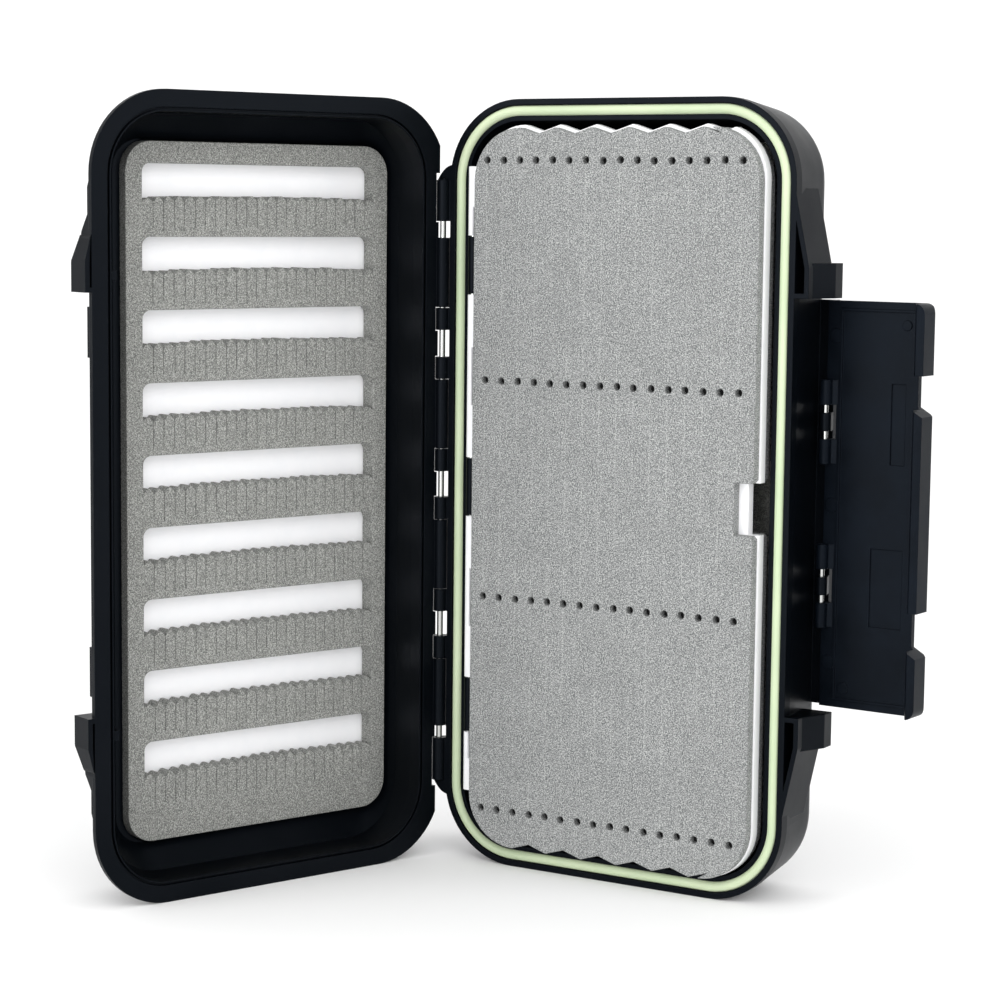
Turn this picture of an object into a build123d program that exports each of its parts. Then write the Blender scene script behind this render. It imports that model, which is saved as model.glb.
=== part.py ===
import os
from math import cos, sin

from build123d import *

# Waterproof fly box, standing open on its end: a base tray with a seal ring in its rim, a
# lid on a long pin hinge, a foam leaf swinging over the tray and a wide side clasp.
# Sizes are in mm. The box is drawn closed and lying on its back: X runs from the main hinge
# axis towards the clasp, Y along the box and Z up, with the rim plane at Z = 0. At the end
# the lid and clasp are turned open and everything is stood on one end.

# overall sizes
length = 195.0
base_depth = 24.5
lid_depth = 21.6
base_edge = 98.5
base_hinge_edge = 2.1
lid_edge = 101.15
lid_hinge_edge = 0.9
lid_outline_start = -1.0
corner_radius = 20.0
floor_thickness = 2.1
rim_straight = 3.0
draft = 6.0
back_radius = 7.0

# clearances that tie the pieces together
closing_gap = 0.3
pin_running_gap = 0.08
knuckle_gap = 0.25
foam_gap = 0.4

# rims and openings
base_rim_width = 5.4
base_hinge_rim = 5.2
lid_rim_width = 5.2
groove_start = 1.5
seal_diameter = 2.6
seal_proud = 0.22
inner_lip_drop = 0.7
lid_straight_depth = 4.5
lid_taper_depth = 10.5
lid_shelf_depth = 16.2
lid_seat_depth = 14.0
shelf_width = 2.0
rim_rib_reach = 1.7
rim_rib_places = (54.0, -55.0)
lid_lip_depth = 1.8
lid_body_edge = 100.0
lid_back_edge = 88.6
lid_end_draft = 2.1
bead_groove_start = 4.2
bead_groove_width = 0.6
bead_groove_depth = 0.9

# main hinge
main_pin_radius = 0.8
main_barrel_radius = 1.75
main_barrel_gap = 0.22
shoulder_rise = 3.8
shoulder_clearance = 1.7
hinge_zone = 78.0
lid_window_edge = 1.2
lid_knuckles = ((45.2, 62.8), (9.1, 26.7), (-27.2, -9.4), (-63.1, -45.6))
base_knuckles = (
    (67.0, 77.4),
    (39.4, 45.0),
    (26.9, 32.5),
    (3.2, 8.9),
    (-9.2, -3.5),
    (-33.1, -27.4),
    (-45.4, -39.6),
    (-77.5, -66.4),
)

# foam leaf
leaf_axis_x = 9.1
leaf_axis_z = 0.0
leaf_plate_thickness = 2.5
leaf_foam_thickness = 3.0
leaf_pin_radius = 0.7
leaf_foam_start = 11.9
leaf_edge = 91.0
leaf_half_length = 91.0
leaf_drop = 0.7
plate_top_extra = 0.75
leaf_corner = 13.0
leaf_lugs = ((48.9, 63.2), (-7.5, 7.0), (-63.5, -49.7))
leaf_barrels = ((63.5, 80.8), (7.3, 48.6), (-49.4, -7.8), (-79.0, -63.8))
leaf_windows = ((63.5, 70.6), (20.6, 35.3), (-36.0, -21.2), (-70.7, -63.8))
notch_half = 6.3
notch_foam_edge = 86.0
notch_plate_edge = 88.4
scallop_pitch = 10.15
scallop_depth = 1.6
scallop_first = 24.8
scallops = 7
hole_pitch = 4.725
hole_first = 15.6
holes_per_row = 16
hole_radius = 1.0
hole_rows = (82.3, 27.4, -27.4, -82.3)

# lid foam and backing sheets
sheet_thickness = 0.8
lid_foam_start = 7.5
lid_foam_edge = 84.3
lid_foam_half = 85.7
lid_foam_corner = 7.0
slot_start = 12.0
slot_end = 79.5
slot_height = 8.6
slot_pitch = 17.65
slots = 9
base_foam_inset = 5.0
base_foam_thickness = 5.0

# clasp
clasp_axis_x = 100.5
clasp_axis_z = -15.0
clasp_pin_radius = 0.7
clasp_barrel_radius = 1.5
clasp_half_length = 49.4
clasp_inner_x = 101.55
clasp_thickness = 1.7
clasp_lip_start = 9.4
clasp_lip_end = 12.2
clasp_hook_reach = 96.7
clasp_corner = 2.6
clasp_panels = ((10.6, 30.0, 1.9, 5.6), (-28.8, -9.8, -2.6, 5.8))
clasp_pads = ((41.0, -13.0, 1.7), (0.0, -13.2, 1.7), (-38.5, -13.2, 1.7), (-44.5, -9.0, 1.4), (44.0, 5.6, 1.2))
catch_edge = 97.6
catch_gap = 0.3
catch_thickness = 1.6
catch_spans = ((34.5, 46.5), (-46.5, -34.5))
clasp_sets = ((10.0, 30.3), (-29.9, -9.6))
clasp_knuckle_length = 6.0
ledge_top = -18.3
ledge_edge = 101.0
clasp_notches = ((24.75, 32.5), (-32.7, -23.8))

# corner guards beside the clasp
guard_end = 50.1
guard_wall = 1.2
base_guard_depth = 13.0
lid_guard_depth = 7.0

# open pose
lid_open_angle = 110.2
clasp_open_angle = 87.0

half_length = length / 2
lid_floor = lid_depth - floor_thickness
lid_foam_thickness = lid_floor - sheet_thickness - lid_seat_depth


def outline(start, end, half, radius, height):
    with BuildSketch(Plane.XY.offset(height)) as drawn:
        with Locations(((start + end) / 2, 0)):
            RectangleRounded(end - start, 2 * half, radius)
    return drawn.sketch


def base_outline(inset, height):
    radius = corner_radius - inset
    return outline(base_hinge_edge + inset, base_edge - inset, half_length - inset, radius, height)


def block(x_from, x_to, y_from, y_to, z_from, z_to, mode=Mode.ADD):
    with Locations(((x_from + x_to) / 2, (y_from + y_to) / 2, (z_from + z_to) / 2)):
        Box(x_to - x_from, y_to - y_from, z_to - z_from, mode=mode)


def rod(x, z, radius, y_from, y_to, mode=Mode.ADD):
    with Locations((x, (y_from + y_to) / 2, z)):
        Cylinder(radius, y_to - y_from, rotation=(90, 0, 0), mode=mode)


def prism(corners, y_from, y_to, mode=Mode.ADD):
    # a side view in X and Z, carried along the box
    with BuildSketch(Plane.XZ.offset(-y_from)) as face:
        with BuildLine():
            Polyline(*corners, close=True)
        make_face()
    extrude(face.sketch, amount=y_from - y_to, mode=mode)


def plan(corners, z_from, z_to, mode=Mode.ADD):
    # a plan in X and Y, carried through the depth
    with BuildSketch(Plane.XY.offset(z_from)) as face:
        with BuildLine():
            Polyline(*corners, close=True)
        make_face()
    extrude(face.sketch, amount=z_to - z_from, mode=mode)


def side_cut(corners, x_from, x_to):
    # a side view in Y and Z, cut away across the box
    with BuildSketch(Plane.YZ.offset(x_from)) as face:
        with BuildLine():
            Polyline(*corners, close=True)
        make_face()
    extrude(face.sketch, amount=x_to - x_from, mode=Mode.SUBTRACT)


def guard_corners(end_x, side):
    # wedge beside the clasp, thin at the corner of the box and full at the clasp
    full = [
        (base_edge - 3.5, side * 76.0),
        (base_edge - 0.3, side * 76.0),
        (end_x, side * 57.5),
        (end_x, side * guard_end),
        (base_edge - 3.5, side * guard_end),
    ]
    return full


def guard_pocket(start_x, end_x, side):
    return [
        (start_x, side * 68.5),
        (end_x - guard_wall, side * 57.3),
        (end_x - guard_wall, side * (guard_end + guard_wall)),
        (start_x, side * (guard_end + guard_wall)),
    ]


# base tray
with BuildPart() as base_shell:
    extrude(base_outline(0, 0), amount=-rim_straight)
    extrude(base_outline(0, -rim_straight), amount=rim_straight - base_depth, taper=draft)
    fillet(base_shell.faces().sort_by(Axis.Z)[0].edges(), radius=back_radius)
    for side in (-1, 1):
        plan(guard_corners(102.2, side), -base_guard_depth, 0)
        foot = ((102.1, -2.0), (105.0, -9.0), (105.0, -base_guard_depth), (96.0, -base_guard_depth))
        ends = sorted((side * guard_end, side * 58.4))
        prism(foot + ((96.0, -2.0),), ends[0], ends[1])
        pocket = guard_pocket(base_edge + 0.1, 102.2, side)
        plan(pocket, -base_guard_depth + 1.5, 0, Mode.SUBTRACT)
    for low, high in base_knuckles:
        rod(0, 0, main_barrel_radius, low, high)
        web = ((-0.6, -1.6), (3.6, -5.5), (3.6, 0.0), (1.0, 0.0))
        prism(web, low, high)
    # lip that closes the wall up to the lid's barrels
    lip_edge = main_barrel_radius + main_barrel_gap
    for low, high in lid_knuckles:
        block(lip_edge, 3.0, low - 0.2, high + 0.2, -3.5, -0.05)
    # rounded shoulder running out from the wall to each end barrel
    for side in (-1, 1):
        shoulder = [(4.0, side * 76.0), (4.0, side * (77.4 + shoulder_rise))]
        for step in range(7):
            turn = step / 6
            across = 3.0 - (3.0 + main_barrel_radius) * turn
            rise = shoulder_rise * (1 - turn**2.2)
            shoulder.append((across, side * (77.4 + rise)))
        shoulder.append((-main_barrel_radius, side * 76.0))
        plan(shoulder, -2.2, 0)
    tray_start = base_hinge_edge + base_hinge_rim
    tray_end = base_edge - base_rim_width
    tray_half = half_length - base_rim_width
    tray_corner = corner_radius - base_rim_width
    extrude(
        outline(tray_start, tray_end, tray_half, tray_corner, 0),
        amount=-(base_depth - floor_thickness),
        taper=2.0,
        mode=Mode.SUBTRACT,
    )
    fillet(base_shell.faces().sort_by(Axis.Z).filter_by(Plane.XY)[1].edges(), radius=3.0)
    groove_depth = seal_diameter - seal_proud
    extrude(base_outline(groove_start, 0), amount=-groove_depth, mode=Mode.SUBTRACT)
    extrude(base_outline(groove_start + seal_diameter + 0.1, -groove_depth), amount=groove_depth - inner_lip_drop)
    extrude(
        outline(tray_start, tray_end, tray_half, tray_corner, 0),
        amount=-groove_depth - 1.0,
        mode=Mode.SUBTRACT,
    )
    for low, high in leaf_lugs:
        rod(leaf_axis_x, leaf_axis_z, leaf_plate_thickness / 2, low, high)
        lug = ((6.5, -6.0), (6.5, -1.6), (7.9, -0.4), (9.3, 0.0), (10.35, 0.0), (10.35, -2.0), (8.1, -6.0))
        prism(lug, low, high)
    # ledge behind the clasp, with a knuckle standing on it in each pair of clasp barrels
    block(94.0, ledge_edge, -clasp_half_length, clasp_half_length, ledge_top - 2.4, ledge_top)
    ear_foot = ledge_top - 0.2
    ear = ((98.9, ear_foot), (ledge_edge, ear_foot), (102.0, clasp_axis_z), (99.0, clasp_axis_z))
    for low, high in clasp_sets:
        middle = (low + high) / 2
        rod(clasp_axis_x, clasp_axis_z, clasp_barrel_radius, middle - 2.2, middle + 2.2)
        prism(ear, middle - 2.2, middle + 2.2)
        rod(clasp_axis_x, clasp_axis_z, clasp_pin_radius, low, high, Mode.SUBTRACT)
    rod(0, 0, main_pin_radius, -78.0, 78.0, Mode.SUBTRACT)
    rod(leaf_axis_x, leaf_axis_z, leaf_pin_radius, -80.0, 80.0, Mode.SUBTRACT)

# seal ring in the groove of the tray rim
seal_inset = groove_start + seal_diameter / 2 + 0.05
with BuildPart() as o_ring_seal:
    with BuildLine(Plane.XY.offset(seal_proud - seal_diameter / 2)) as seal_path:
        seal_box = base_outline(seal_inset, 0).face().outer_wire().edges()
        for edge in seal_box:
            add(edge.moved(Location((0, 0, seal_proud - seal_diameter / 2))))
    start_plane = Plane(
        origin=seal_path.line @ 0,
        z_dir=seal_path.line % 0,
    )
    with BuildSketch(start_plane) as seal_section:
        Circle(seal_diameter / 2)
    sweep(seal_section.sketch, path=seal_path.line, transition=Transition.ROUND)

# lid shell, its opening facing down when shut
with BuildPart() as lid_shell:
    lid_lip = outline(lid_outline_start, lid_edge, half_length, corner_radius, closing_gap)
    extrude(lid_lip, amount=lid_lip_depth - closing_gap)
    # behind a thin lip the clasp side slopes well in, so the clasp can lie over it
    back_half = half_length - lid_end_draft
    loft(
        sections=[
            outline(lid_outline_start, lid_body_edge, half_length, corner_radius, lid_lip_depth),
            outline(lid_outline_start + lid_end_draft, lid_back_edge, back_half, corner_radius - 2, lid_depth),
        ],
    )
    fillet(lid_shell.faces().sort_by(Axis.Z)[-1].edges(), radius=back_radius - 1)
    block(-3.0, lid_hinge_edge, -half_length, half_length, 0, lid_depth, Mode.SUBTRACT)
    block(-3.0, lid_window_edge, -hinge_zone, hinge_zone, 0, lid_depth, Mode.SUBTRACT)
    for low, high in base_knuckles:
        relief = main_barrel_radius + main_barrel_gap
        past_low = shoulder_clearance if low == base_knuckles[-1][0] else knuckle_gap
        past_high = shoulder_clearance if high == base_knuckles[0][1] else knuckle_gap
        block(-3.0, relief, low - past_low, high + past_high, 0, lid_depth, Mode.SUBTRACT)
    for low, high in catch_spans:
        catch_top = clasp_lip_start - catch_gap
        block(90.0, catch_edge, low, high, catch_top - catch_thickness, catch_top)
    for side in (-1, 1):
        plan(guard_corners(102.95, side), closing_gap, lid_guard_depth)
        thin_end = ((side * 77.0, lid_lip_depth), (side * 57.0, lid_guard_depth), (side * 77.0, 8.0))
        side_cut(thin_end, 98.6, 104.0)
        plan(guard_pocket(101.2, 102.95, side), closing_gap, lid_guard_depth - 1.2, Mode.SUBTRACT)
    for low, high in lid_knuckles:
        rod(0, 0, main_barrel_radius, low, high)
        web = ((-0.6, 1.6), (3.6, 5.5), (3.6, closing_gap), (1.0, closing_gap))
        prism(web, low, high)
    open_start = lid_hinge_edge + lid_rim_width
    open_end = lid_edge - lid_rim_width
    open_half = half_length - lid_rim_width
    open_corner = corner_radius - lid_rim_width
    extrude(
        outline(open_start, open_end, open_half, open_corner, 0),
        amount=lid_straight_depth,
        mode=Mode.SUBTRACT,
    )
    seat_start = lid_foam_start - foam_gap
    seat_end = lid_foam_edge + foam_gap
    seat_half = lid_foam_half + foam_gap
    seat_corner = lid_foam_corner + foam_gap
    loft(
        sections=[
            outline(open_start, open_end, open_half, open_corner, lid_straight_depth),
            outline(open_start + 0.2, open_end - 3.5, open_half - 0.1, open_corner, lid_taper_depth),
        ],
        mode=Mode.SUBTRACT,
    )
    loft(
        sections=[
            outline(open_start + 0.2, open_end - 3.5, open_half - 0.1, open_corner, lid_taper_depth),
            outline(seat_start, seat_end + shelf_width, seat_half, seat_corner, lid_shelf_depth),
        ],
        mode=Mode.SUBTRACT,
    )
    extrude(
        outline(seat_start, seat_end, seat_half, seat_corner, lid_shelf_depth),
        amount=lid_floor - lid_shelf_depth,
        mode=Mode.SUBTRACT,
    )
    # narrow groove that leaves a bead standing along the inner edge of the rim
    outer_cut = bead_groove_start
    inner_cut = bead_groove_start + bead_groove_width
    with BuildSketch(Plane.XY) as bead_groove:
        for inset, mode in ((outer_cut, Mode.ADD), (inner_cut, Mode.SUBTRACT)):
            middle = (lid_hinge_edge + lid_edge) / 2
            with Locations((middle, 0)):
                RectangleRounded(
                    lid_edge - lid_hinge_edge - 2 * inset,
                    length - 2 * inset,
                    corner_radius - inset,
                    mode=mode,
                )
    extrude(bead_groove.sketch, amount=closing_gap + bead_groove_depth, mode=Mode.SUBTRACT)
    # two small ribs on the inner wall of the clasp side
    for middle in rim_rib_places:
        block(open_end - rim_rib_reach, open_end + 0.3, middle - 1.2, middle + 1.2, 0.8, lid_straight_depth + 2.0)
    rod(0, 0, main_pin_radius + pin_running_gap, -78.0, 78.0, Mode.SUBTRACT)

# pins
with BuildPart() as main_hinge_pin:
    rod(0, 0, main_pin_radius, -77.3, 77.3)

with BuildPart() as leaf_hinge_pin:
    rod(leaf_axis_x, leaf_axis_z, leaf_pin_radius, -78.8, 79.6)

with BuildPart() as clasp_pin_upper:
    rod(clasp_axis_x, clasp_axis_z, clasp_pin_radius, clasp_sets[0][0] + 0.3, clasp_sets[0][1] - 0.3)

with BuildPart() as clasp_pin_lower:
    rod(clasp_axis_x, clasp_axis_z, clasp_pin_radius, clasp_sets[1][0] + 0.3, clasp_sets[1][1] - 0.3)

# white sheets bonded to the two floors
with BuildPart() as lid_backing_sheet:
    lid_sheet = outline(lid_foam_start + 0.5, lid_foam_edge - 0.5, lid_foam_half - 0.5, 6.5, lid_floor)
    extrude(lid_sheet, amount=-sheet_thickness)

tray_floor = -(base_depth - floor_thickness)
pad_start = base_hinge_edge + base_hinge_rim + base_foam_inset
pad_end = base_edge - base_rim_width - base_foam_inset
pad_half = half_length - base_rim_width - base_foam_inset

with BuildPart() as base_backing_sheet:
    extrude(outline(pad_start, pad_end, pad_half, 9.0, tray_floor), amount=sheet_thickness)

with BuildPart() as base_foam_insert:
    pad_top = tray_floor + sheet_thickness
    extrude(outline(pad_start, pad_end, pad_half, 9.0, pad_top), amount=base_foam_thickness)

# lid foam with nine open slots
with BuildPart() as lid_foam_insert:
    extrude(
        outline(lid_foam_start, lid_foam_edge, lid_foam_half, lid_foam_corner, lid_seat_depth),
        amount=lid_foam_thickness,
    )
    for row in range(slots):
        top = 80.4 - row * slot_pitch
        block(
            slot_start,
            slot_end,
            top - slot_height,
            top,
            lid_seat_depth,
            lid_seat_depth + lid_foam_thickness,
            Mode.SUBTRACT,
        )

# swinging leaf: a white plate with a foam sheet on each face
plate_half_thickness = leaf_plate_thickness / 2


def leaf_sheet_outline(height, notch_edge, edge, top_extra=0.0):
    with BuildSketch(Plane.XY.offset(height)) as drawn:
        with BuildSketch(mode=Mode.PRIVATE) as body:
            with Locations(((leaf_foam_start + edge) / 2, top_extra / 2 - leaf_drop)):
                RectangleRounded(edge - leaf_foam_start, 2 * leaf_half_length + top_extra, leaf_corner)
        add(body.sketch)
        for side in (-1, 1):
            rim = -leaf_drop + side * leaf_half_length + (top_extra if side > 0 else 0)
            for valley in range(scallops - 1):
                middle = scallop_first + (valley + 0.5) * scallop_pitch
                with BuildLine():
                    Polyline(
                        (middle - scallop_pitch / 2, rim + side * 0.01),
                        (middle, rim - side * scallop_depth),
                        (middle + scallop_pitch / 2, rim + side * 0.01),
                        close=True,
                    )
                make_face(mode=Mode.SUBTRACT)
        with Locations(((notch_edge + 100) / 2, -leaf_drop / 2)):
            Rectangle(100 - notch_edge, 2 * notch_half, mode=Mode.SUBTRACT)
    return drawn.sketch


with BuildPart() as leaf_plate:
    plate_outline = leaf_sheet_outline(-plate_half_thickness, notch_plate_edge, leaf_edge + 0.4, plate_top_extra)
    extrude(plate_outline, amount=leaf_plate_thickness)
    for low, high in leaf_barrels:
        block(leaf_axis_x, leaf_foam_start + 2.0, low, high, -plate_half_thickness, plate_half_thickness)
        rod(leaf_axis_x, leaf_axis_z, plate_half_thickness, low, high)
    for low, high in leaf_windows:
        block(leaf_axis_x + 0.5, leaf_foam_start - 0.1, low, high, -0.2, 2.0, Mode.SUBTRACT)
    rod(leaf_axis_x, leaf_axis_z, leaf_pin_radius + pin_running_gap, -80.0, 82.0, Mode.SUBTRACT)

leaf_foams = []
for start in (plate_half_thickness, -plate_half_thickness - leaf_foam_thickness):
    with BuildPart() as leaf_foam:
        extrude(leaf_sheet_outline(start, notch_foam_edge, leaf_edge), amount=leaf_foam_thickness)
        with BuildSketch(Plane.XY.offset(start)) as holes:
            for row in hole_rows:
                for place in range(holes_per_row):
                    with Locations((hole_first + place * hole_pitch, row)):
                        Circle(hole_radius)
        extrude(holes.sketch, amount=leaf_foam_thickness, mode=Mode.SUBTRACT)
    leaf_foams.append(leaf_foam.part)

# clasp, drawn shut with its hook behind the lid flange
clasp_outer_x = clasp_inner_x + clasp_thickness
with BuildPart() as clasp:
    side_view = (
        (clasp_inner_x, clasp_axis_z - 0.4),
        (clasp_outer_x, clasp_axis_z - 0.4),
        (clasp_outer_x, clasp_lip_end - 0.8),
        (clasp_outer_x - 0.8, clasp_lip_end),
        (clasp_hook_reach, clasp_lip_end),
        (clasp_hook_reach, clasp_lip_start + 0.7),
        (clasp_hook_reach + 1.0, clasp_lip_start),
        (clasp_inner_x, clasp_lip_start),
    )
    prism(side_view, -clasp_half_length, clasp_half_length)
    for low, high in clasp_sets:
        for start in (low, high - clasp_knuckle_length):
            rod(clasp_axis_x, clasp_axis_z, clasp_barrel_radius, start, start + clasp_knuckle_length)
            prism(
                (
                    (clasp_axis_x, clasp_axis_z + 0.2),
                    (clasp_axis_x + 0.3, clasp_axis_z - 1.4),
                    (clasp_outer_x, clasp_axis_z - 0.4),
                    (clasp_outer_x, clasp_axis_z + 2.6),
                    (clasp_inner_x, clasp_axis_z + 2.6),
                ),
                start,
                start + clasp_knuckle_length,
            )
        middle = (low + high) / 2
        gap_low = low + clasp_knuckle_length
        gap_high = high - clasp_knuckle_length
        block(98.0, 105.0, gap_low, gap_high, clasp_axis_z - 3.0, clasp_axis_z + 2.3, Mode.SUBTRACT)
        rod(
            clasp_axis_x,
            clasp_axis_z,
            clasp_pin_radius + pin_running_gap,
            low - 1.0,
            high + 1.0,
            Mode.SUBTRACT,
        )
    for low, high in clasp_notches:
        block(96.0, 106.0, low, high, clasp_lip_start - 0.6, clasp_lip_end + 1.0, Mode.SUBTRACT)
    # ramped lower end of each notch, and rounded outer corners
    for low, high in clasp_notches:
        ramp = ((low + 0.01, clasp_lip_end + 1.0), (low + 0.01, clasp_lip_start - 0.6), (low - 2.6, clasp_lip_end + 1.0))
        side_cut(ramp, 96.0, 106.0)
    for side in (-1, 1):
        tip = [(side * (clasp_half_length + 1), clasp_lip_end + 1.0)]
        for step in range(9):
            turn = step / 8 * 1.5708
            along = clasp_half_length - clasp_corner + clasp_corner * sin(turn)
            reach = clasp_lip_end - clasp_corner + clasp_corner * cos(turn)
            tip.append((side * along, reach))
        tip.append((side * (clasp_half_length + 1), clasp_lip_end - clasp_corner))
        tip.insert(1, (side * (clasp_half_length - clasp_corner), clasp_lip_end + 1.0))
        side_cut(tip, 96.0, 106.0)
    # raised rib round the inner face, sunk panels and round ejector pads
    rib_top = clasp_inner_x - 0.4
    block(rib_top, clasp_inner_x, -47.6, 47.6, clasp_axis_z + 3.2, clasp_axis_z + 3.8)
    for side in (-1, 1):
        ends = sorted((side * 47.0, side * 47.6))
        block(rib_top, clasp_inner_x, ends[0], ends[1], clasp_axis_z + 3.2, clasp_lip_start - 1.5)
    for low, high, near, far in clasp_panels:
        block(clasp_inner_x - 1, clasp_inner_x + 0.35, low, high, near, far, Mode.SUBTRACT)
    for along, reach, radius in clasp_pads:
        with Locations((clasp_inner_x, along, reach)):
            Cylinder(radius, 0.6, rotation=(0, 90, 0))

# open pose, then stood on one end with the middle of the footprint at the origin
lid_hinge_line = Axis((0, 0, 0), (0, 1, 0))
clasp_hinge_line = Axis((clasp_axis_x, 0, clasp_axis_z), (0, 1, 0))
pieces = {
    "base_shell": base_shell.part,
    "o_ring_seal": o_ring_seal.part,
    "main_hinge_pin": main_hinge_pin.part,
    "leaf_hinge_pin": leaf_hinge_pin.part,
    "clasp_pin_upper": clasp_pin_upper.part,
    "clasp_pin_lower": clasp_pin_lower.part,
    "base_backing_sheet": base_backing_sheet.part,
    "base_foam_insert": base_foam_insert.part,
    "lid_shell": lid_shell.part.rotate(lid_hinge_line, -lid_open_angle),
    "lid_backing_sheet": lid_backing_sheet.part.rotate(lid_hinge_line, -lid_open_angle),
    "lid_foam_insert": lid_foam_insert.part.rotate(lid_hinge_line, -lid_open_angle),
    "leaf_plate": leaf_plate.part,
    "leaf_front_foam": leaf_foams[0],
    "leaf_back_foam": leaf_foams[1],
    "clasp": clasp.part.rotate(clasp_hinge_line, clasp_open_angle),
}
standing = {}
for label, solid in pieces.items():
    standing[label] = solid.rotate(Axis.X, 90)

boxes = [solid.bounding_box() for solid in standing.values()]
middle_x = (min(box.min.X for box in boxes) + max(box.max.X for box in boxes)) / 2
middle_y = (min(box.min.Y for box in boxes) + max(box.max.Y for box in boxes)) / 2
bottom = min(box.min.Z for box in boxes)

os.makedirs("parts", exist_ok=True)
for label, solid in standing.items():
    placed = solid.moved(Location((-middle_x, -middle_y, -bottom)))
    placed.label = label
    export_step(placed, "parts/" + label + ".step")

print("main hinge axis at", round(-middle_x, 3), round(-middle_y, 3), "height", round(-bottom, 3))
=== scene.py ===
import math
import random

import bmesh
import bpy
from mathutils import Matrix, Vector


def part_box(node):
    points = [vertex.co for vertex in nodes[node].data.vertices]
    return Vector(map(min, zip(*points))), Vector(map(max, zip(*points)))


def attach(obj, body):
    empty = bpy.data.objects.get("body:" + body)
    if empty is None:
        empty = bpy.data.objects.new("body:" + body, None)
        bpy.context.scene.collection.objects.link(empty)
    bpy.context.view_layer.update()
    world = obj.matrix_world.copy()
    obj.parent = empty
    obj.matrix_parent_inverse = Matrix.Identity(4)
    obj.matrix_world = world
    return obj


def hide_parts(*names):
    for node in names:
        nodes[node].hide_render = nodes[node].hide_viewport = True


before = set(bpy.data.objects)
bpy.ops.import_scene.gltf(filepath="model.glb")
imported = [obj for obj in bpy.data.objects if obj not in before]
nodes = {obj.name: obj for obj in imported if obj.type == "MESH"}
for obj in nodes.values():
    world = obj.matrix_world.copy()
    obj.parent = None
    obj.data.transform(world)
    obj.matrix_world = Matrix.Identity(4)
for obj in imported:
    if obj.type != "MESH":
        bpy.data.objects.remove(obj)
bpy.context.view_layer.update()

mm = 0.001

# Where things are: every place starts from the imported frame. The box stands on its end, so the
# main hinge runs straight up, and the lid is turned open about it.
pinLow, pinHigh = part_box("main_hinge_pin")
hingeX = (pinLow[0] + pinHigh[0]) / 2
hingeY = (pinLow[1] + pinHigh[1]) / 2
middleZ = (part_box("base_shell")[0][2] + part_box("base_shell")[1][2]) / 2
lidOpen = math.radians(110.2)


def trayPoint(x, along, proud):
    # x from the hinge towards the clasp, along the box, proud of the rim plane, all in mm
    return Vector((hingeX + x * mm, hingeY - proud * mm, middleZ + along * mm))


def lidPoint(x, along, depth):
    # the same for the lid, with depth measured into it from its rim plane
    turned = x * math.cos(-lidOpen) + depth * math.sin(-lidOpen)
    lifted = -x * math.sin(-lidOpen) + depth * math.cos(-lidOpen)
    return trayPoint(turned, along, lifted)


def fromHex(code):
    # sRGB hex to the linear values that shaders use
    out = []
    for place in (1, 3, 5):
        value = int(code[place:place + 2], 16) / 255
        out.append(value / 12.92 if value <= 0.04045 else ((value + 0.055) / 1.055) ** 2.4)
    return (out[0], out[1], out[2], 1.0)


def addNode(tree, kind, settings=None, values=None, links=None):
    # one node with its settings, socket values and incoming links
    node = tree.nodes.new(kind)
    for name, value in (settings or {}).items():
        setattr(node, name, value)
    for name, value in (values or {}).items():
        node.inputs[name].default_value = value
    for name, source in (links or {}).items():
        tree.links.new(source, node.inputs[name])
    return node


def newMaterial(name):
    material = bpy.data.materials.new(name)
    material.use_nodes = True
    tree = material.node_tree
    shader = tree.nodes["Principled BSDF"]
    place = addNode(tree, "ShaderNodeTexCoord")
    return material, tree, shader, place.outputs["Object"]


# Satin black ABS, injection moulded: spark-eroded mould texture, so highlights are broad and
# soft, with faint flow marks and edges polished a little brighter by handling.
absPlastic = {
    "body": "#030508",
    "worn": "#07090d",
    "roughness": (0.28, 0.44),
    "specular": 0.085,
    "glossTint": "#d6e4f8",
    "grainMm": 0.35,       # real texture is nearer 0.05 mm, drawn coarser so that it shows
    "flowMm": 26.0,
    "edgeRadiusMm": 0.35,
    "bump": 0.06,
}


def mouldedAbs(name, finish):
    material, tree, shader, place = newMaterial(name)
    flow = addNode(
        tree, "ShaderNodeTexNoise", values={"Scale": 1 / (finish["flowMm"] * mm), "Detail": 4.0, "Roughness": 0.6},
        links={"Vector": place},
    )
    grain = addNode(
        tree, "ShaderNodeTexNoise", values={"Scale": 1 / (finish["grainMm"] * mm), "Detail": 2.0},
        links={"Vector": place},
    )
    tint = addNode(tree, "ShaderNodeValToRGB", links={"Fac": flow.outputs["Fac"]})
    tint.color_ramp.elements[0].position = 0.35
    tint.color_ramp.elements[0].color = fromHex(finish["body"])
    tint.color_ramp.elements[1].position = 0.75
    tint.color_ramp.elements[1].color = fromHex(finish["worn"])
    rough = addNode(
        tree, "ShaderNodeMapRange",
        values={"From Min": 0.3, "From Max": 0.7, "To Min": finish["roughness"][0], "To Max": finish["roughness"][1]},
        links={"Value": flow.outputs["Fac"]},
    )
    edge = addNode(tree, "ShaderNodeBevel", {"samples": 4}, {"Radius": finish["edgeRadiusMm"] * mm})
    bump = addNode(
        tree, "ShaderNodeBump", values={"Strength": finish["bump"], "Distance": 0.1 * mm},
        links={"Height": grain.outputs["Fac"], "Normal": edge.outputs["Normal"]},
    )
    tree.links.new(tint.outputs["Color"], shader.inputs["Base Color"])
    tree.links.new(rough.outputs["Result"], shader.inputs["Roughness"])
    tree.links.new(bump.outputs["Normal"], shader.inputs["Normal"])
    shader.inputs["IOR"].default_value = 1.53
    shader.inputs["Specular IOR Level"].default_value = finish["specular"]
    shader.inputs["Specular Tint"].default_value = fromHex(finish["glossTint"])
    return material


shellAbs = mouldedAbs("satinBlackAbs", absPlastic)

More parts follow.
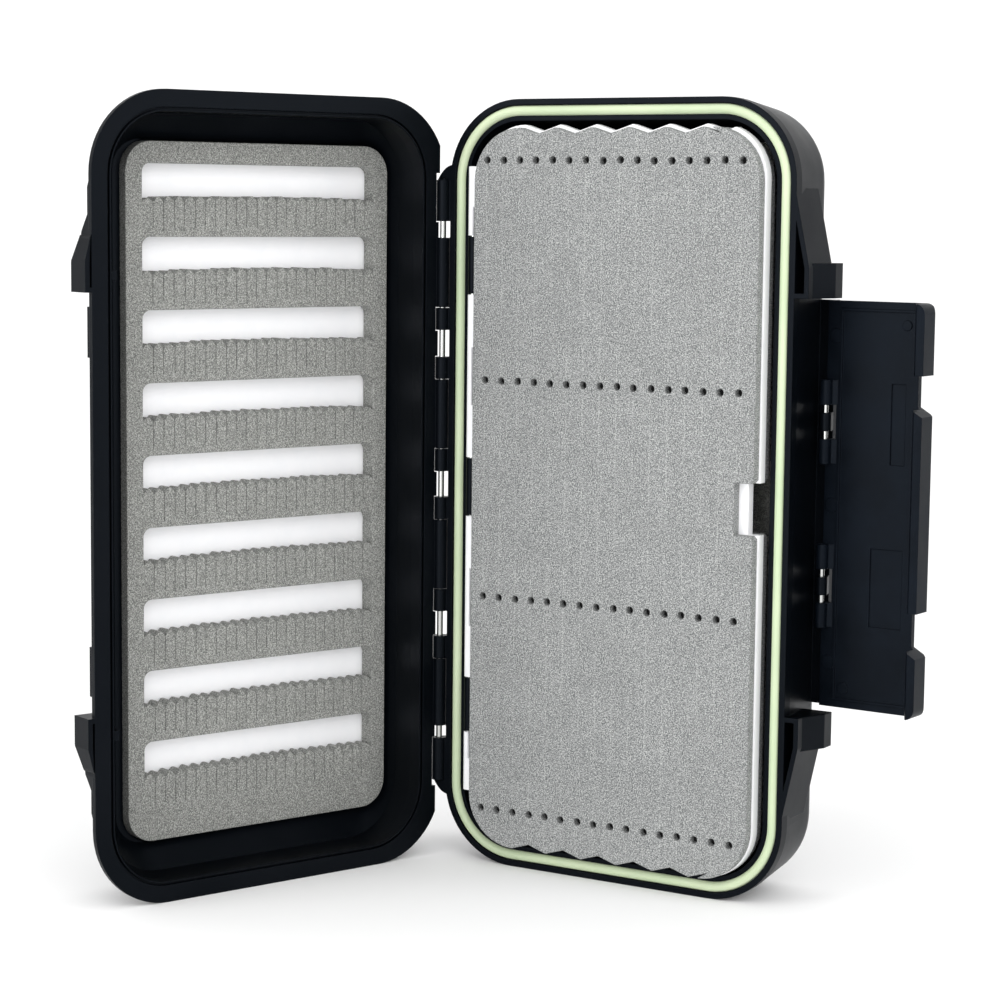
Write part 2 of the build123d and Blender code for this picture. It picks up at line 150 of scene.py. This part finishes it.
# Moulded black polypropylene for the clasp: a touch greyer and waxier than the shell, with long
# streaks where the melt ran along the hinge.
claspPlastic = {
    "body": "#05080d",
    "worn": "#0d1219",
    "roughness": (0.30, 0.48),
    "specular": 0.08,
    "glossTint": "#d6e4f8",
    "grainMm": 0.30,
    "flowMm": 14.0,
    "edgeRadiusMm": 0.30,
    "bump": 0.08,
}
claspPoly = mouldedAbs("mouldedBlackPolypropylene", claspPlastic)

# Pale green silicone cord: waxy, slightly see-through, light sinks in a little.
silicone = {"body": "#c3cfae", "shade": "#b4c4a2", "roughness": 0.38, "skinMm": 22.0}


def siliconeRubber(finish):
    material, tree, shader, place = newMaterial("translucentGreenSilicone")
    cloud = addNode(
        tree, "ShaderNodeTexNoise", values={"Scale": 1 / (finish["skinMm"] * mm), "Detail": 3.0},
        links={"Vector": place},
    )
    tint = addNode(tree, "ShaderNodeValToRGB", links={"Fac": cloud.outputs["Fac"]})
    tint.color_ramp.elements[0].position = 0.3
    tint.color_ramp.elements[0].color = fromHex(finish["shade"])
    tint.color_ramp.elements[1].position = 0.65
    tint.color_ramp.elements[1].color = fromHex(finish["body"])
    bump = addNode(
        tree, "ShaderNodeBump", values={"Strength": 0.03, "Distance": 0.2 * mm},
        links={"Height": cloud.outputs["Fac"]},
    )
    tree.links.new(tint.outputs["Color"], shader.inputs["Base Color"])
    tree.links.new(bump.outputs["Normal"], shader.inputs["Normal"])
    shader.inputs["Roughness"].default_value = finish["roughness"]
    shader.inputs["Subsurface Weight"].default_value = 0.12
    shader.inputs["Subsurface Radius"].default_value = (0.9, 1.0, 0.6)
    shader.inputs["Subsurface Scale"].default_value = 0.8 * mm
    shader.inputs["IOR"].default_value = 1.41
    return material


sealSilicone = siliconeRubber(silicone)

# Drawn stainless wire: bright, with fine lines left along it by the die.
pinSteel = {"body": "#b9bab8", "roughness": (0.10, 0.22), "drawMm": 0.12}


def drawnSteel(finish):
    material, tree, shader, place = newMaterial("drawnStainlessWire")
    stretch = addNode(tree, "ShaderNodeMapping", values={"Scale": (1.0, 1.0, 0.02)}, links={"Vector": place})
    lines = addNode(
        tree, "ShaderNodeTexNoise", values={"Scale": 1 / (finish["drawMm"] * mm), "Detail": 2.0},
        links={"Vector": stretch.outputs["Vector"]},
    )
    rough = addNode(
        tree, "ShaderNodeMapRange",
        values={"To Min": finish["roughness"][0], "To Max": finish["roughness"][1]},
        links={"Value": lines.outputs["Fac"]},
    )
    shader.inputs["Base Color"].default_value = fromHex(finish["body"])
    shader.inputs["Metallic"].default_value = 1.0
    tree.links.new(rough.outputs["Result"], shader.inputs["Roughness"])
    return material


wireSteel = drawnSteel(pinSteel)

# Rolled white polystyrene sheet: smooth and semi-gloss with the faintest orange peel.
whiteSheet = {"body": "#fbfbfd", "shade": "#f5f6f9", "roughness": 0.40, "peelMm": 4.0}


def rolledStyrene(finish):
    material, tree, shader, place = newMaterial("rolledWhitePolystyrene")
    peel = addNode(
        tree, "ShaderNodeTexNoise", values={"Scale": 1 / (finish["peelMm"] * mm), "Detail": 2.0},
        links={"Vector": place},
    )
    tint = addNode(tree, "ShaderNodeValToRGB", links={"Fac": peel.outputs["Fac"]})
    tint.color_ramp.elements[0].color = fromHex(finish["shade"])
    tint.color_ramp.elements[1].position = 0.6
    tint.color_ramp.elements[1].color = fromHex(finish["body"])
    bump = addNode(
        tree, "ShaderNodeBump", values={"Strength": 0.02, "Distance": 0.1 * mm},
        links={"Height": peel.outputs["Fac"]},
    )
    tree.links.new(tint.outputs["Color"], shader.inputs["Base Color"])
    tree.links.new(bump.outputs["Normal"], shader.inputs["Normal"])
    shader.inputs["Roughness"].default_value = finish["roughness"]
    shader.inputs["IOR"].default_value = 1.55
    return material


sheetStyrene = rolledStyrene(whiteSheet)

# Skived EVA foam: the blade opens the cells, so the face is a dense salt-and-pepper of tiny
# pits, fully matt. The cell colour is painted shade in the pits and a painted highlight on their rims.
leafFoam = {
    "pitShade": "#4c4e4f",
    "body": "#7f8181",
    "rimHighlight": "#b9bab8",
    "spread": (0.36, 0.64),
    "cellMm": 0.30,        # real cells are about 0.2 mm, drawn coarser so that they show
    "bump": 0.6,
    "slitPitchMm": 4.725,
    "slitStart": 15.6,
}
lidFoam = dict(leafFoam, pitShade="#545553", body="#81827f", rimHighlight="#b4b5b0", slitPitchMm=0.0)


def skivedFoam(name, finish):
    material, tree, shader, place = newMaterial(name)
    cells = addNode(
        tree, "ShaderNodeTexNoise",
        values={"Scale": 1 / (finish["cellMm"] * mm), "Detail": 2.5, "Roughness": 0.7},
        links={"Vector": place},
    )
    mottle = addNode(
        tree, "ShaderNodeTexNoise", values={"Scale": 1 / (9 * mm), "Detail": 3.0},
        links={"Vector": place},
    )
    # pits dark and rims pale, following the bump height: painted shade and painted highlight
    tint = addNode(tree, "ShaderNodeValToRGB", links={"Fac": cells.outputs["Fac"]})
    tint.color_ramp.elements[0].position = finish["spread"][0]
    tint.color_ramp.elements[0].color = fromHex(finish["pitShade"])
    tint.color_ramp.elements[1].position = finish["spread"][1]
    tint.color_ramp.elements[1].color = fromHex(finish["rimHighlight"])
    midTone = tint.color_ramp.elements.new(0.5)
    midTone.color = fromHex(finish["body"])
    cloud = addNode(
        tree, "ShaderNodeMapRange", values={"From Min": 0.3, "From Max": 0.7, "To Min": 0.96, "To Max": 1.04},
        links={"Value": mottle.outputs["Fac"]},
    )
    toned = addNode(
        tree, "ShaderNodeVectorMath", {"operation": "SCALE"},
        links={0: tint.outputs["Color"], "Scale": cloud.outputs["Result"]},
    )
    colour = toned.outputs["Vector"]
    height = cells.outputs["Fac"]
    if finish["slitPitchMm"]:
        # knife slits from hole to hole show as faint pale lines
        split = addNode(tree, "ShaderNodeSeparateXYZ", links={"Vector": place})
        pitch = finish["slitPitchMm"] * mm
        first = hingeX + finish["slitStart"] * mm
        shifted = addNode(
            tree, "ShaderNodeMath", {"operation": "SUBTRACT"}, {1: first - pitch / 2},
            {0: split.outputs["X"]},
        )
        folded = addNode(
            tree, "ShaderNodeMath", {"operation": "WRAP"}, {1: pitch, 2: 0.0}, {0: shifted.outputs["Value"]},
        )
        off = addNode(tree, "ShaderNodeMath", {"operation": "SUBTRACT"}, {1: pitch / 2}, {0: folded.outputs["Value"]})
        away = addNode(tree, "ShaderNodeMath", {"operation": "ABSOLUTE"}, links={0: off.outputs["Value"]})
        line = addNode(
            tree, "ShaderNodeMapRange", {"interpolation_type": "SMOOTHSTEP"},
            {"From Min": 0.26 * mm, "From Max": 0.05 * mm, "To Min": 0.0, "To Max": 1.0},
            {"Value": away.outputs["Value"]},
        )
        patchy = addNode(
            tree, "ShaderNodeMapRange", values={"From Min": 0.40, "From Max": 0.62, "To Min": 0.02, "To Max": 0.14},
            links={"Value": mottle.outputs["Fac"]},
        )
        shown = addNode(
            tree, "ShaderNodeMath", {"operation": "MULTIPLY"},
            links={0: line.outputs["Result"], 1: patchy.outputs["Result"]},
        )
        lined = addNode(
            tree, "ShaderNodeMix", {"data_type": "RGBA"}, {"B": fromHex("#d8dad6")},
            {"Factor": shown.outputs["Value"], "A": colour},
        )
        colour = lined.outputs["Result"]
    bump = addNode(
        tree, "ShaderNodeBump", values={"Strength": finish["bump"], "Distance": 0.25 * mm}, links={"Height": height},
    )
    tree.links.new(colour, shader.inputs["Base Color"])
    tree.links.new(bump.outputs["Normal"], shader.inputs["Normal"])
    shader.inputs["Roughness"].default_value = 0.92
    shader.inputs["IOR"].default_value = 1.48
    shader.inputs["Sheen Weight"].default_value = 0.08
    return material


leafEva = skivedFoam("skivedGreyEvaFoam", leafFoam)
# Near-black foam plugs at the bottom of each punched hole: painted shade for the dark depth of the holes.
holeShadeMaterial = skivedFoam(
    "paintedHoleShade", dict(leafFoam, pitShade="#050505", body="#0b0b0c", rimHighlight="#161616", slitPitchMm=0.0),
)
lidEva = skivedFoam("skivedPaleEvaFoam", lidFoam)
print("materials ready")

cadFinish = {
    "base_shell": shellAbs,
    "lid_shell": shellAbs,
    "clasp": claspPoly,
    "main_hinge_pin": wireSteel,
    "leaf_hinge_pin": wireSteel,
    "clasp_pin_upper": wireSteel,
    "clasp_pin_lower": wireSteel,
    "base_backing_sheet": sheetStyrene,
    "lid_backing_sheet": sheetStyrene,
    "leaf_plate": sheetStyrene,
}
for nodeName, finish in cadFinish.items():
    node = nodes[nodeName]
    if not node.material_slots:
        node.data.materials.append(finish)
    for materialSlot in node.material_slots:
        materialSlot.material = finish
print("CAD pieces painted")


def roundedLoop(left, right, low, high, radius, steps=8):
    # a rounded rectangle, anticlockwise from the lower right corner
    points = []
    for centreX, centreY, start in (
        (right - radius, low + radius, -90),
        (right - radius, high - radius, 0),
        (left + radius, high - radius, 90),
        (left + radius, low + radius, 180),
    ):
        for step in range(steps + 1):
            angle = math.radians(start + 90 * step / steps)
            points.append((centreX + radius * math.cos(angle), centreY + radius * math.sin(angle)))
    return points


def foamSheet(name, loops, thickness, softEdge, toPlace, face):
    # a die-cut foam sheet from closed outlines; inner outlines become holes and every edge is
    # rounded over by softEdge. toPlace turns (x, along, height) in mm into the standing box.
    outlineCurve = bpy.data.curves.new(name + "Cut", "CURVE")
    outlineCurve.dimensions = "2D"
    outlineCurve.fill_mode = "BOTH"
    outlineCurve.extrude = thickness / 2 - softEdge
    outlineCurve.bevel_depth = softEdge
    outlineCurve.bevel_resolution = 2
    outlineCurve.offset = -softEdge
    for loop in loops:
        spline = outlineCurve.splines.new("POLY")
        spline.points.add(len(loop) - 1)
        for point, (x, y) in zip(spline.points, loop):
            point.co = (x, y, 0, 1)
        spline.use_cyclic_u = True
    cutter = bpy.data.objects.new(name + "Cut", outlineCurve)
    bpy.context.scene.collection.objects.link(cutter)
    bpy.context.view_layer.update()
    mesh = bpy.data.meshes.new_from_object(cutter.evaluated_get(bpy.context.evaluated_depsgraph_get()))
    bpy.data.objects.remove(cutter)
    bm = bmesh.new()
    bm.from_mesh(mesh)
    bmesh.ops.remove_doubles(bm, verts=bm.verts, dist=0.002)
    for vert in bm.verts:
        vert.co = toPlace(vert.co.x, vert.co.y, face + vert.co.z)
    bmesh.ops.recalc_face_normals(bm, faces=bm.faces)
    bm.to_mesh(mesh)
    bm.free()
    mesh.materials.clear()
    piece = bpy.data.objects.new(name, mesh)
    bpy.context.scene.collection.objects.link(piece)
    for polygon in mesh.polygons:
        polygon.use_smooth = False
    return piece


def solidPiece(name, verts, faces, finish, smooth):
    # one closed mesh with its faces turned outwards
    mesh = bpy.data.meshes.new(name)
    mesh.from_pydata([tuple(vert) for vert in verts], [], faces)
    bm = bmesh.new()
    bm.from_mesh(mesh)
    bmesh.ops.recalc_face_normals(bm, faces=bm.faces)
    bm.to_mesh(mesh)
    bm.free()
    for polygon in mesh.polygons:
        polygon.use_smooth = smooth
    mesh.materials.append(finish)
    piece = bpy.data.objects.new(name, mesh)
    bpy.context.scene.collection.objects.link(piece)
    return piece


# Seal: one round cord lying in the groove, all the way round the tray rim.
sealLow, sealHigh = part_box("o_ring_seal")
sealCord = {"corner": 17.15, "cornerSteps": 16, "sides": 24}


def makeSeal(cord):
    radius = (sealHigh[1] - sealLow[1]) / 2 / mm
    left = (sealLow[0] - hingeX) / mm + radius
    right = (sealHigh[0] - hingeX) / mm - radius
    half = (sealHigh[2] - sealLow[2]) / 2 / mm - radius
    proud = (hingeY - (sealLow[1] + sealHigh[1]) / 2) / mm
    path = roundedLoop(left, right, -half, half, cord["corner"], cord["cornerSteps"])
    sides = cord["sides"]
    verts = []
    for index, (x, along) in enumerate(path):
        before = path[index - 1]
        after = path[(index + 1) % len(path)]
        run = math.hypot(after[0] - before[0], after[1] - before[1])
        outX = (after[1] - before[1]) / run
        outAlong = (before[0] - after[0]) / run
        for side in range(sides):
            angle = 2 * math.pi * side / sides
            reach = radius * math.cos(angle)
            verts.append(trayPoint(x + outX * reach, along + outAlong * reach, proud + radius * math.sin(angle)))
    faces = []
    for ring in range(len(path)):
        following = (ring + 1) % len(path)
        for side in range(sides):
            beside = (side + 1) % sides
            faces.append((
                ring * sides + side, ring * sides + beside, following * sides + beside, following * sides + side,
            ))
    piece = solidPiece("sealCord", verts, faces, sealSilicone, True)
    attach(piece, "tray")
    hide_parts("o_ring_seal")
    return piece


makeSeal(sealCord)
print("seal laid")

# Lid pad: nine open slots, each with a row of pointed fingers along its lower edge, knife-slit
# so that a hook can be pushed between two of them.
lidPad = {
    "left": 7.5,
    "right": 84.3,
    "half": 85.7,
    "corner": 7.0,
    "face": 14.0,
    "thickness": 4.55,
    "slotLeft": 11.6,
    "slotRight": 79.7,
    "firstTop": 80.4,
    "pitch": 17.65,
    "slotHeight": 8.2,
    "fingers": 23,
    "pointHeight": 1.15,
    "slitDepth": 7.0,
    "slitGap": 0.10,
    "slotCorner": 2.2,
    "crown": 0.55,
    "softEdge": 0.22,
}


def slotLoop(pad, row, chance):
    # one slot: plain rounded upper edge, fingers and slits along the lower edge. The band under
    # it is pushed up a little in the middle, because the slit foam spreads.
    top = pad["firstTop"] - row * pad["pitch"]
    low = top - pad["slotHeight"]
    left = pad["slotLeft"]
    right = pad["slotRight"]
    width = (right - left) / pad["fingers"]
    loop = []
    for finger in range(pad["fingers"] + 1):
        gapX = left + finger * width
        bow = pad["crown"] * math.sin(math.pi * finger / pad["fingers"]) ** 0.8
        lean = chance.uniform(-0.12, 0.12)
        deep = pad["slitDepth"] * chance.uniform(0.86, 1.04)
        rootY = low + bow - pad["pointHeight"]
        if finger == 0:
            loop.append((left, rootY + 0.35))
        elif finger == pad["fingers"]:
            loop.append((right, rootY + 0.35))
        else:
            half = pad["slitGap"] / 2
            loop.append((gapX + lean - half, rootY))
            loop.append((gapX + lean * 1.6 - half, rootY - deep))
            loop.append((gapX + lean * 1.6 + half, rootY - deep))
            loop.append((gapX + lean + half, rootY))
        if finger < pad["fingers"]:
            tipX = gapX + width / 2 + chance.uniform(-0.15, 0.15)
            tipY = low + pad["crown"] * math.sin(math.pi * (finger + 0.5) / pad["fingers"]) ** 0.8
            tipY += chance.uniform(-0.15, 0.15)
            loop.append((tipX - width * 0.10, tipY - 0.06))
            loop.append((tipX + width * 0.10, tipY - 0.06))
    corner = pad["slotCorner"]
    for centreX, start in ((right - corner, 0), (left + corner, 90)):
        for step in range(7):
            angle = math.radians(start + 15 * step)
            loop.append((centreX + corner * math.cos(angle), top - corner + corner * math.sin(angle)))
    return loop


def makeLidPad(pad):
    chance = random.Random(4)
    loops = [roundedLoop(pad["left"], pad["right"], -pad["half"], pad["half"], pad["corner"])]
    for row in range(9):
        loops.append(slotLoop(pad, row, chance))
    middle = pad["face"] + pad["thickness"] / 2
    piece = foamSheet("lidFoamPad", loops, pad["thickness"], pad["softEdge"], lidPoint, middle)
    piece.data.materials.append(lidEva)
    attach(piece, "lid")
    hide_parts("lid_foam_insert")
    return piece


makeLidPad(lidPad)
print("lid pad cut")

# Leaf foams: a sheet each side of the white plate, with scalloped ends, a thumb notch and four
# rows of punched hook holes.
leafSheet = {
    "left": 11.9,
    "right": 91.0,
    "half": 91.0,
    "drop": 0.7,
    "corner": 13.0,
    "thickness": 3.0,
    "plateHalf": 1.25,
    "scallopFirst": 24.8,
    "scallopPitch": 10.15,
    "scallops": 7,
    "scallopDepth": 1.6,
    "holeFirst": 15.6,
    "holePitch": 4.725,
    "holeRadius": 0.95,
    "shadePlugHeight": 1.0,
    "rows": (82.3, 27.4, -27.4, -82.3),
    "notchEdge": 86.0,
    "notchHalf": 6.3,
    "softEdge": 0.25,
}


def leafLoops(leaf, chance):
    top = leaf["half"] - leaf["drop"]
    bottom = -leaf["half"] - leaf["drop"]
    corner = leaf["corner"]
    left, right = leaf["left"], leaf["right"]
    outer = []

    def arc(centreX, centreY, start):
        for step in range(11):
            angle = math.radians(start + 9 * step)
            outer.append((centreX + corner * math.cos(angle), centreY + corner * math.sin(angle)))

    def scallopRow(level, inward, order):
        for valley in order:
            middle = leaf["scallopFirst"] + (valley + 0.5) * leaf["scallopPitch"]
            outer.append((middle, level + inward * leaf["scallopDepth"]))
            peak = middle + (0.5 if inward > 0 else -0.5) * leaf["scallopPitch"]
            if 0 < valley < leaf["scallops"] - 2 or (valley == 0) == (inward > 0):
                outer.append((peak, level))

    arc(left + corner, bottom + corner, 180)
    scallopRow(bottom, 1, range(leaf["scallops"] - 1))
    arc(right - corner, bottom + corner, 270)
    notchLow = -leaf["drop"] / 2 - leaf["notchHalf"]
    notchHigh = -leaf["drop"] / 2 + leaf["notchHalf"]
    outer.append((right, notchLow - 0.8))
    outer.append((right - 0.8, notchLow))
    outer.append((leaf["notchEdge"], notchLow))
    outer.append((leaf["notchEdge"], notchHigh))
    outer.append((right - 0.8, notchHigh))
    outer.append((right, notchHigh + 0.8))
    arc(right - corner, top - corner, 0)
    scallopRow(top, -1, reversed(range(leaf["scallops"] - 1)))
    arc(left + corner, top - corner, 90)
    loops = [outer]
    for row in leaf["rows"]:
        for place in range(16):
            centreX = leaf["holeFirst"] + place * leaf["holePitch"] + chance.uniform(-0.12, 0.12)
            centreY = row + chance.uniform(-0.12, 0.12)
            loops.append([
                (
                    centreX + leaf["holeRadius"] * math.cos(math.radians(30 * step)),
                    centreY + leaf["holeRadius"] * math.sin(math.radians(30 * step)),
                )
                for step in range(12)
            ])
    return loops


def makeLeafSheet(name, leaf, side, node, seed):
    loops = leafLoops(leaf, random.Random(seed))
    middle = side * (leaf["plateHalf"] + leaf["thickness"] / 2)
    piece = foamSheet(name, loops, leaf["thickness"], leaf["softEdge"], trayPoint, middle)
    piece.data.materials.append(leafEva)
    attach(piece, "leaf")
    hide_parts(node)
    return piece


def makeHoleShadePlugs(name, leaf, side):
    # short near-black plugs at the bottom of the punched holes, as one piece: painted shade in the holes
    start = side * leaf["plateHalf"]
    end = side * (leaf["plateHalf"] + leaf["shadePlugHeight"])
    reach = leaf["holeRadius"] + 0.2
    corners = [
        (reach * math.cos(math.radians(30 * step)), reach * math.sin(math.radians(30 * step))) for step in range(12)
    ]
    verts, faces = [], []
    for row in leaf["rows"]:
        for place in range(16):
            first = len(verts)
            centreX = leaf["holeFirst"] + place * leaf["holePitch"]
            for level in (start, end):
                verts.extend(trayPoint(centreX + x, row + y, level) for x, y in corners)
            faces.append(tuple(range(first, first + 12)))
            faces.append(tuple(range(first + 12, first + 24)))
            for step in range(12):
                beside = (step + 1) % 12
                faces.append((first + step, first + beside, first + 12 + beside, first + 12 + step))
    piece = solidPiece(name, verts, faces, holeShadeMaterial, False)
    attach(piece, "leaf")
    return piece


makeLeafSheet("leafFrontSheet", leafSheet, 1, "leaf_front_foam", 11)
makeLeafSheet("leafBackSheet", leafSheet, -1, "leaf_back_foam", 12)
# near-black plugs in the hook holes: painted shade
makeHoleShadePlugs("frontHoleShadePlugs", leafSheet, 1)
makeHoleShadePlugs("backHoleShadePlugs", leafSheet, -1)
print("leaf foams cut")

# Tray pad behind the leaf: a ribbed foam block, hidden until the leaf is swung out.
trayLow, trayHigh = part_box("base_foam_insert")
trayPad = {"ribs": 17, "ribDepth": 1.1, "corner": 9.0, "softEdge": 0.3, "faceReach": 0.4}


def makeTrayPad(pad):
    left = (trayLow[0] - hingeX) / mm
    right = (trayHigh[0] - hingeX) / mm
    half = (trayHigh[2] - trayLow[2]) / 2 / mm
    front = -(trayLow[1] - hingeY) / mm
    back = -(trayHigh[1] - hingeY) / mm
    loop = roundedLoop(left, right, -half, half, pad["corner"])
    piece = foamSheet("trayFoamPad", [loop], front - back, pad["softEdge"], trayPoint, (front + back) / 2)
    bm = bmesh.new()
    bm.from_mesh(piece.data)
    for cut in range(pad["ribs"] * 2 + 1):
        level = middleZ + (-half + cut * half / pad["ribs"]) * mm
        bmesh.ops.bisect_plane(
            bm, geom=bm.verts[:] + bm.edges[:] + bm.faces[:], plane_co=(0, 0, level), plane_no=(0, 0, 1),
        )
    for vert in bm.verts:
        rib = round((vert.co.z - middleZ + half * mm) / (half * mm / pad["ribs"]))
        if vert.co.y < trayLow[1] + pad["faceReach"] * mm and rib % 2 == 0:
            vert.co.y += pad["ribDepth"] * mm
    bm.to_mesh(piece.data)
    bm.free()
    piece.data.materials.append(lidEva)
    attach(piece, "tray")
    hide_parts("base_foam_insert")
    return piece


makeTrayPad(trayPad)
print("tray pad cut")

# Floor, light and camera.
cameraSetup = {
    "fromHinge": (363.4, -561.7, 71.85),
    "heading": 31.6,
    "pitch": -6.49,
    "roll": 0.62,
    "lens": 94.14,
    "sensor": 36.0,
}
studio = {
    "floor": "#fafafa",
    "sweepWide": 4.0,
    "sweepFront": 3.0,
    "sweepBack": 0.9,
    "sweepBend": 0.9,
    "sweepTop": 3.0,
    "keyPower": 5.0,
    "fillPower": 6.0,
    "lowPower": 4.0,
    "sidePower": 2.0,
    "world": 1.05,
}


def paleFloor():
    # paper sweep: flat under the box, then curving up behind it, so no horizon shows
    wide = studio["sweepWide"]
    bend = studio["sweepBend"]
    profile = [(-studio["sweepFront"], 0.0), (studio["sweepBack"], 0.0)]
    for step in range(1, 25):
        angle = math.radians(90 * step / 24)
        profile.append((studio["sweepBack"] + bend * math.sin(angle), bend * (1 - math.cos(angle))))
    profile.append((studio["sweepBack"] + bend, studio["sweepTop"]))
    turn = Matrix.Rotation(math.radians(cameraSetup["heading"]), 3, "Z")
    corners = []
    for along, up in profile:
        corners.append(turn @ Vector((-wide, along, up)))
        corners.append(turn @ Vector((wide, along, up)))
    faces = [(2 * row, 2 * row + 1, 2 * row + 3, 2 * row + 2) for row in range(len(profile) - 1)]
    mesh = bpy.data.meshes.new("paperSweep")
    mesh.from_pydata([tuple(corner) for corner in corners], [], faces)
    for polygon in mesh.polygons:
        polygon.use_smooth = True
    floor = bpy.data.objects.new("paperSweep", mesh)
    bpy.context.scene.collection.objects.link(floor)
    material, tree, shader, place = newMaterial("mattBackdropPaper")
    tooth = addNode(
        tree, "ShaderNodeTexNoise", values={"Scale": 1 / (25 * mm), "Detail": 2.0}, links={"Vector": place},
    )
    rough = addNode(
        tree, "ShaderNodeMapRange", values={"To Min": 0.85, "To Max": 0.95}, links={"Value": tooth.outputs["Fac"]},
    )
    shader.inputs["Base Color"].default_value = fromHex(studio["floor"])
    shader.inputs["Specular IOR Level"].default_value = 0.1
    tree.links.new(rough.outputs["Result"], shader.inputs["Roughness"])
    mesh.materials.append(material)


def softLight(name, spot, target, size, power):
    lamp = bpy.data.lights.new(name, "AREA")
    lamp.shape = "RECTANGLE"
    lamp.size = size[0]
    lamp.size_y = size[1]
    lamp.energy = power
    holder = bpy.data.objects.new(name, lamp)
    bpy.context.scene.collection.objects.link(holder)
    holder.location = spot
    aim = Vector(target) - Vector(spot)
    holder.rotation_euler = aim.to_track_quat("-Z", "Y").to_euler()


paleFloor()
world = bpy.data.worlds.new("studioWorld")
world.use_nodes = True
world.node_tree.nodes["Background"].inputs["Color"].default_value = fromHex("#ffffff")
world.node_tree.nodes["Background"].inputs["Strength"].default_value = studio["world"]
bpy.context.scene.world = world
softLight("keySoftbox", (0.9, -0.9, 0.9), (0, 0, 0.1), (0.8, 0.8), studio["keyPower"])
softLight("fillSoftbox", (-0.7, -1.1, 0.5), (0, 0, 0.1), (0.7, 0.9), studio["fillPower"])
softLight("lowSoftbox", (0.1, -1.3, 0.16), (-0.02, 0, 0.07), (1.0, 0.3), studio["lowPower"])
softLight("sideSoftbox", (1.1, 0.2, 0.5), (0.05, 0, 0.1), (0.5, 0.9), studio["sidePower"])


def standCamera(setup):
    camera = bpy.data.cameras.new("studioCamera")
    camera.sensor_width = setup["sensor"]
    camera.lens = setup["lens"]
    holder = bpy.data.objects.new("studioCamera", camera)
    bpy.context.scene.collection.objects.link(holder)
    turn = math.radians(setup["heading"])
    pitch = math.radians(setup["pitch"])
    roll = math.radians(setup["roll"])
    forward = Vector((-math.sin(turn) * math.cos(pitch), math.cos(turn) * math.cos(pitch), math.sin(pitch)))
    level = Vector((math.cos(turn), math.sin(turn), 0))
    up = level.cross(forward)
    side = level * math.cos(roll) + up * math.sin(roll)
    top = up * math.cos(roll) - level * math.sin(roll)
    facing = Matrix((side, top, -forward)).transposed().to_4x4()
    x, y, z = setup["fromHinge"]
    facing.translation = Vector((hingeX + x * mm, hingeY + y * mm, middleZ + z * mm))
    holder.matrix_world = facing
    bpy.context.scene.camera = holder


standCamera(cameraSetup)
bpy.context.scene.view_settings.view_transform = "Standard"
print("studio ready")
